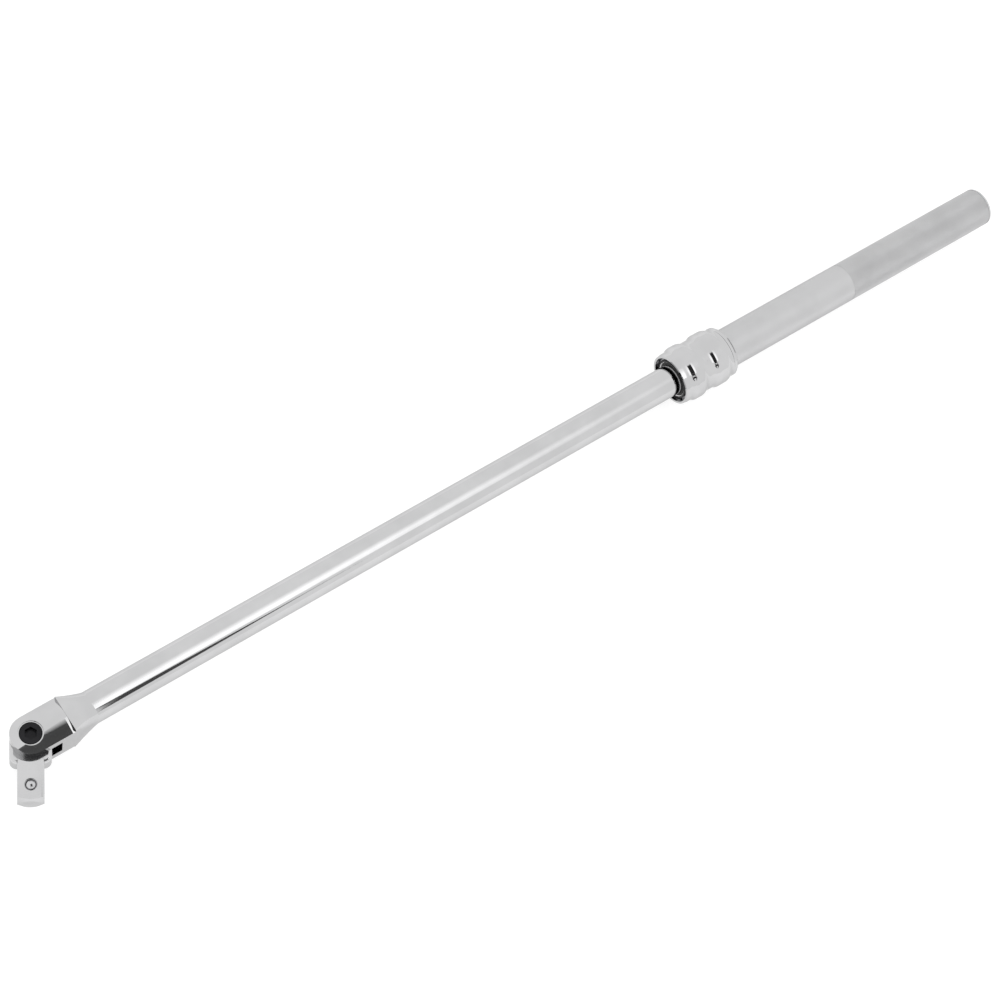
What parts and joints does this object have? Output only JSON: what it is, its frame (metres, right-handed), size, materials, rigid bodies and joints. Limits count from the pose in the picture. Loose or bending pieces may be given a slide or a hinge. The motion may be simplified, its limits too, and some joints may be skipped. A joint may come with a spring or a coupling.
{
  "type": "telescoping breaker bar",
  "caption": "Telescoping breaker bar: square drive on a flexing fork head, long round rod, sliding lock collar and knurled tube handle.",
  "frame": {"origin": "centre of the square drive's end face, with the head bent 60 degrees from straight", "axes": "+X along the bar from head to handle end, +Z along the head's pivot, the drive bent towards -Y; the tool lies flat in XY"},
  "size_m": [0.6408, 0.0454, 0.0316],
  "materials": {
    "bright_chrome": "polished chrome plate",
    "satin_chrome": "satin chrome plate",
    "tube_chrome": "chrome plate, fine knurl on the grip",
    "ball_steel": "polished hardened steel",
    "spring_steel": "bright spring steel",
    "zinc_steel": "zinc plated",
    "black_steel": "black oxide",
    "nylon": "natural nylon",
    "bronze": "sintered bronze",
    "black_rubber": "moulded rubber"
  },
  "bodies": {
    "rod": {"yoke_rod": "bright_chrome", "pivot_screw": "black_steel", "pivot_nut": "black_steel", "plunger_spring": "spring_steel", "tail_guide": "nylon", "tail_washer": "zinc_steel", "tail_screw": "black_steel"},
    "drive": {"drive_tang": "satin_chrome", "drive_ball_spring": "spring_steel"},
    "drive_ball": {"drive_ball": "ball_steel"},
    "plunger": {"friction_plunger": "ball_steel"},
    "handle": {"handle_tube": "tube_chrome", "guide_bush": "bronze", "lock_body": "black_steel", "collar_ring": "bright_chrome", "snap_ring": "spring_steel", "rod_wiper": "black_rubber", "spring_seat": "zinc_steel", "sleeve_spring": "spring_steel", "tail_bumper": "black_rubber", "end_cap": "satin_chrome"},
    "sleeve": {"lock_sleeve": "bright_chrome"},
    "lock_ball": {"lock_ball": "ball_steel"}
  },
  "joints": [
    {"name": "head_hinge", "type": "hinge", "parent": "rod", "child": "drive", "pos_m": [0.0156, 0.02702, 0], "axis": [0, 0, 1], "range_deg": [-150, 30]},
    {"name": "drive_ball_press", "type": "slide", "parent": "drive", "child": "drive_ball", "axis": [0, 0, -1], "range_m": [0, 0.00115], "stiffness_N_per_m": 3000, "springref_m": -0.001, "deforming": ["drive_ball_spring"]},
    {"name": "plunger_press", "type": "slide", "parent": "rod", "child": "plunger", "axis": [1, 0, 0], "range_m": [0, 0.0006], "stiffness_N_per_m": 1500, "springref_m": -0.002, "deforming": ["plunger_spring"]},
    {"name": "telescope", "type": "slide", "parent": "rod", "child": "handle", "axis": [1, 0, 0], "range_m": [-0.1524, 0]},
    {"name": "sleeve_release", "type": "slide", "parent": "handle", "child": "sleeve", "axis": [-1, 0, 0], "range_m": [0, 0.004], "stiffness_N_per_m": 1500, "springref_m": -0.004, "deforming": ["sleeve_spring"]},
    {"name": "lock_ball_lift", "type": "slide", "parent": "handle", "child": "lock_ball", "axis": [0, 0, -1], "range_m": [0, 0.0014]}
  ],
  "couplings": [
    {"joint": "lock_ball_lift", "follows": "sleeve_release", "ratio": 0.35}
  ]
}
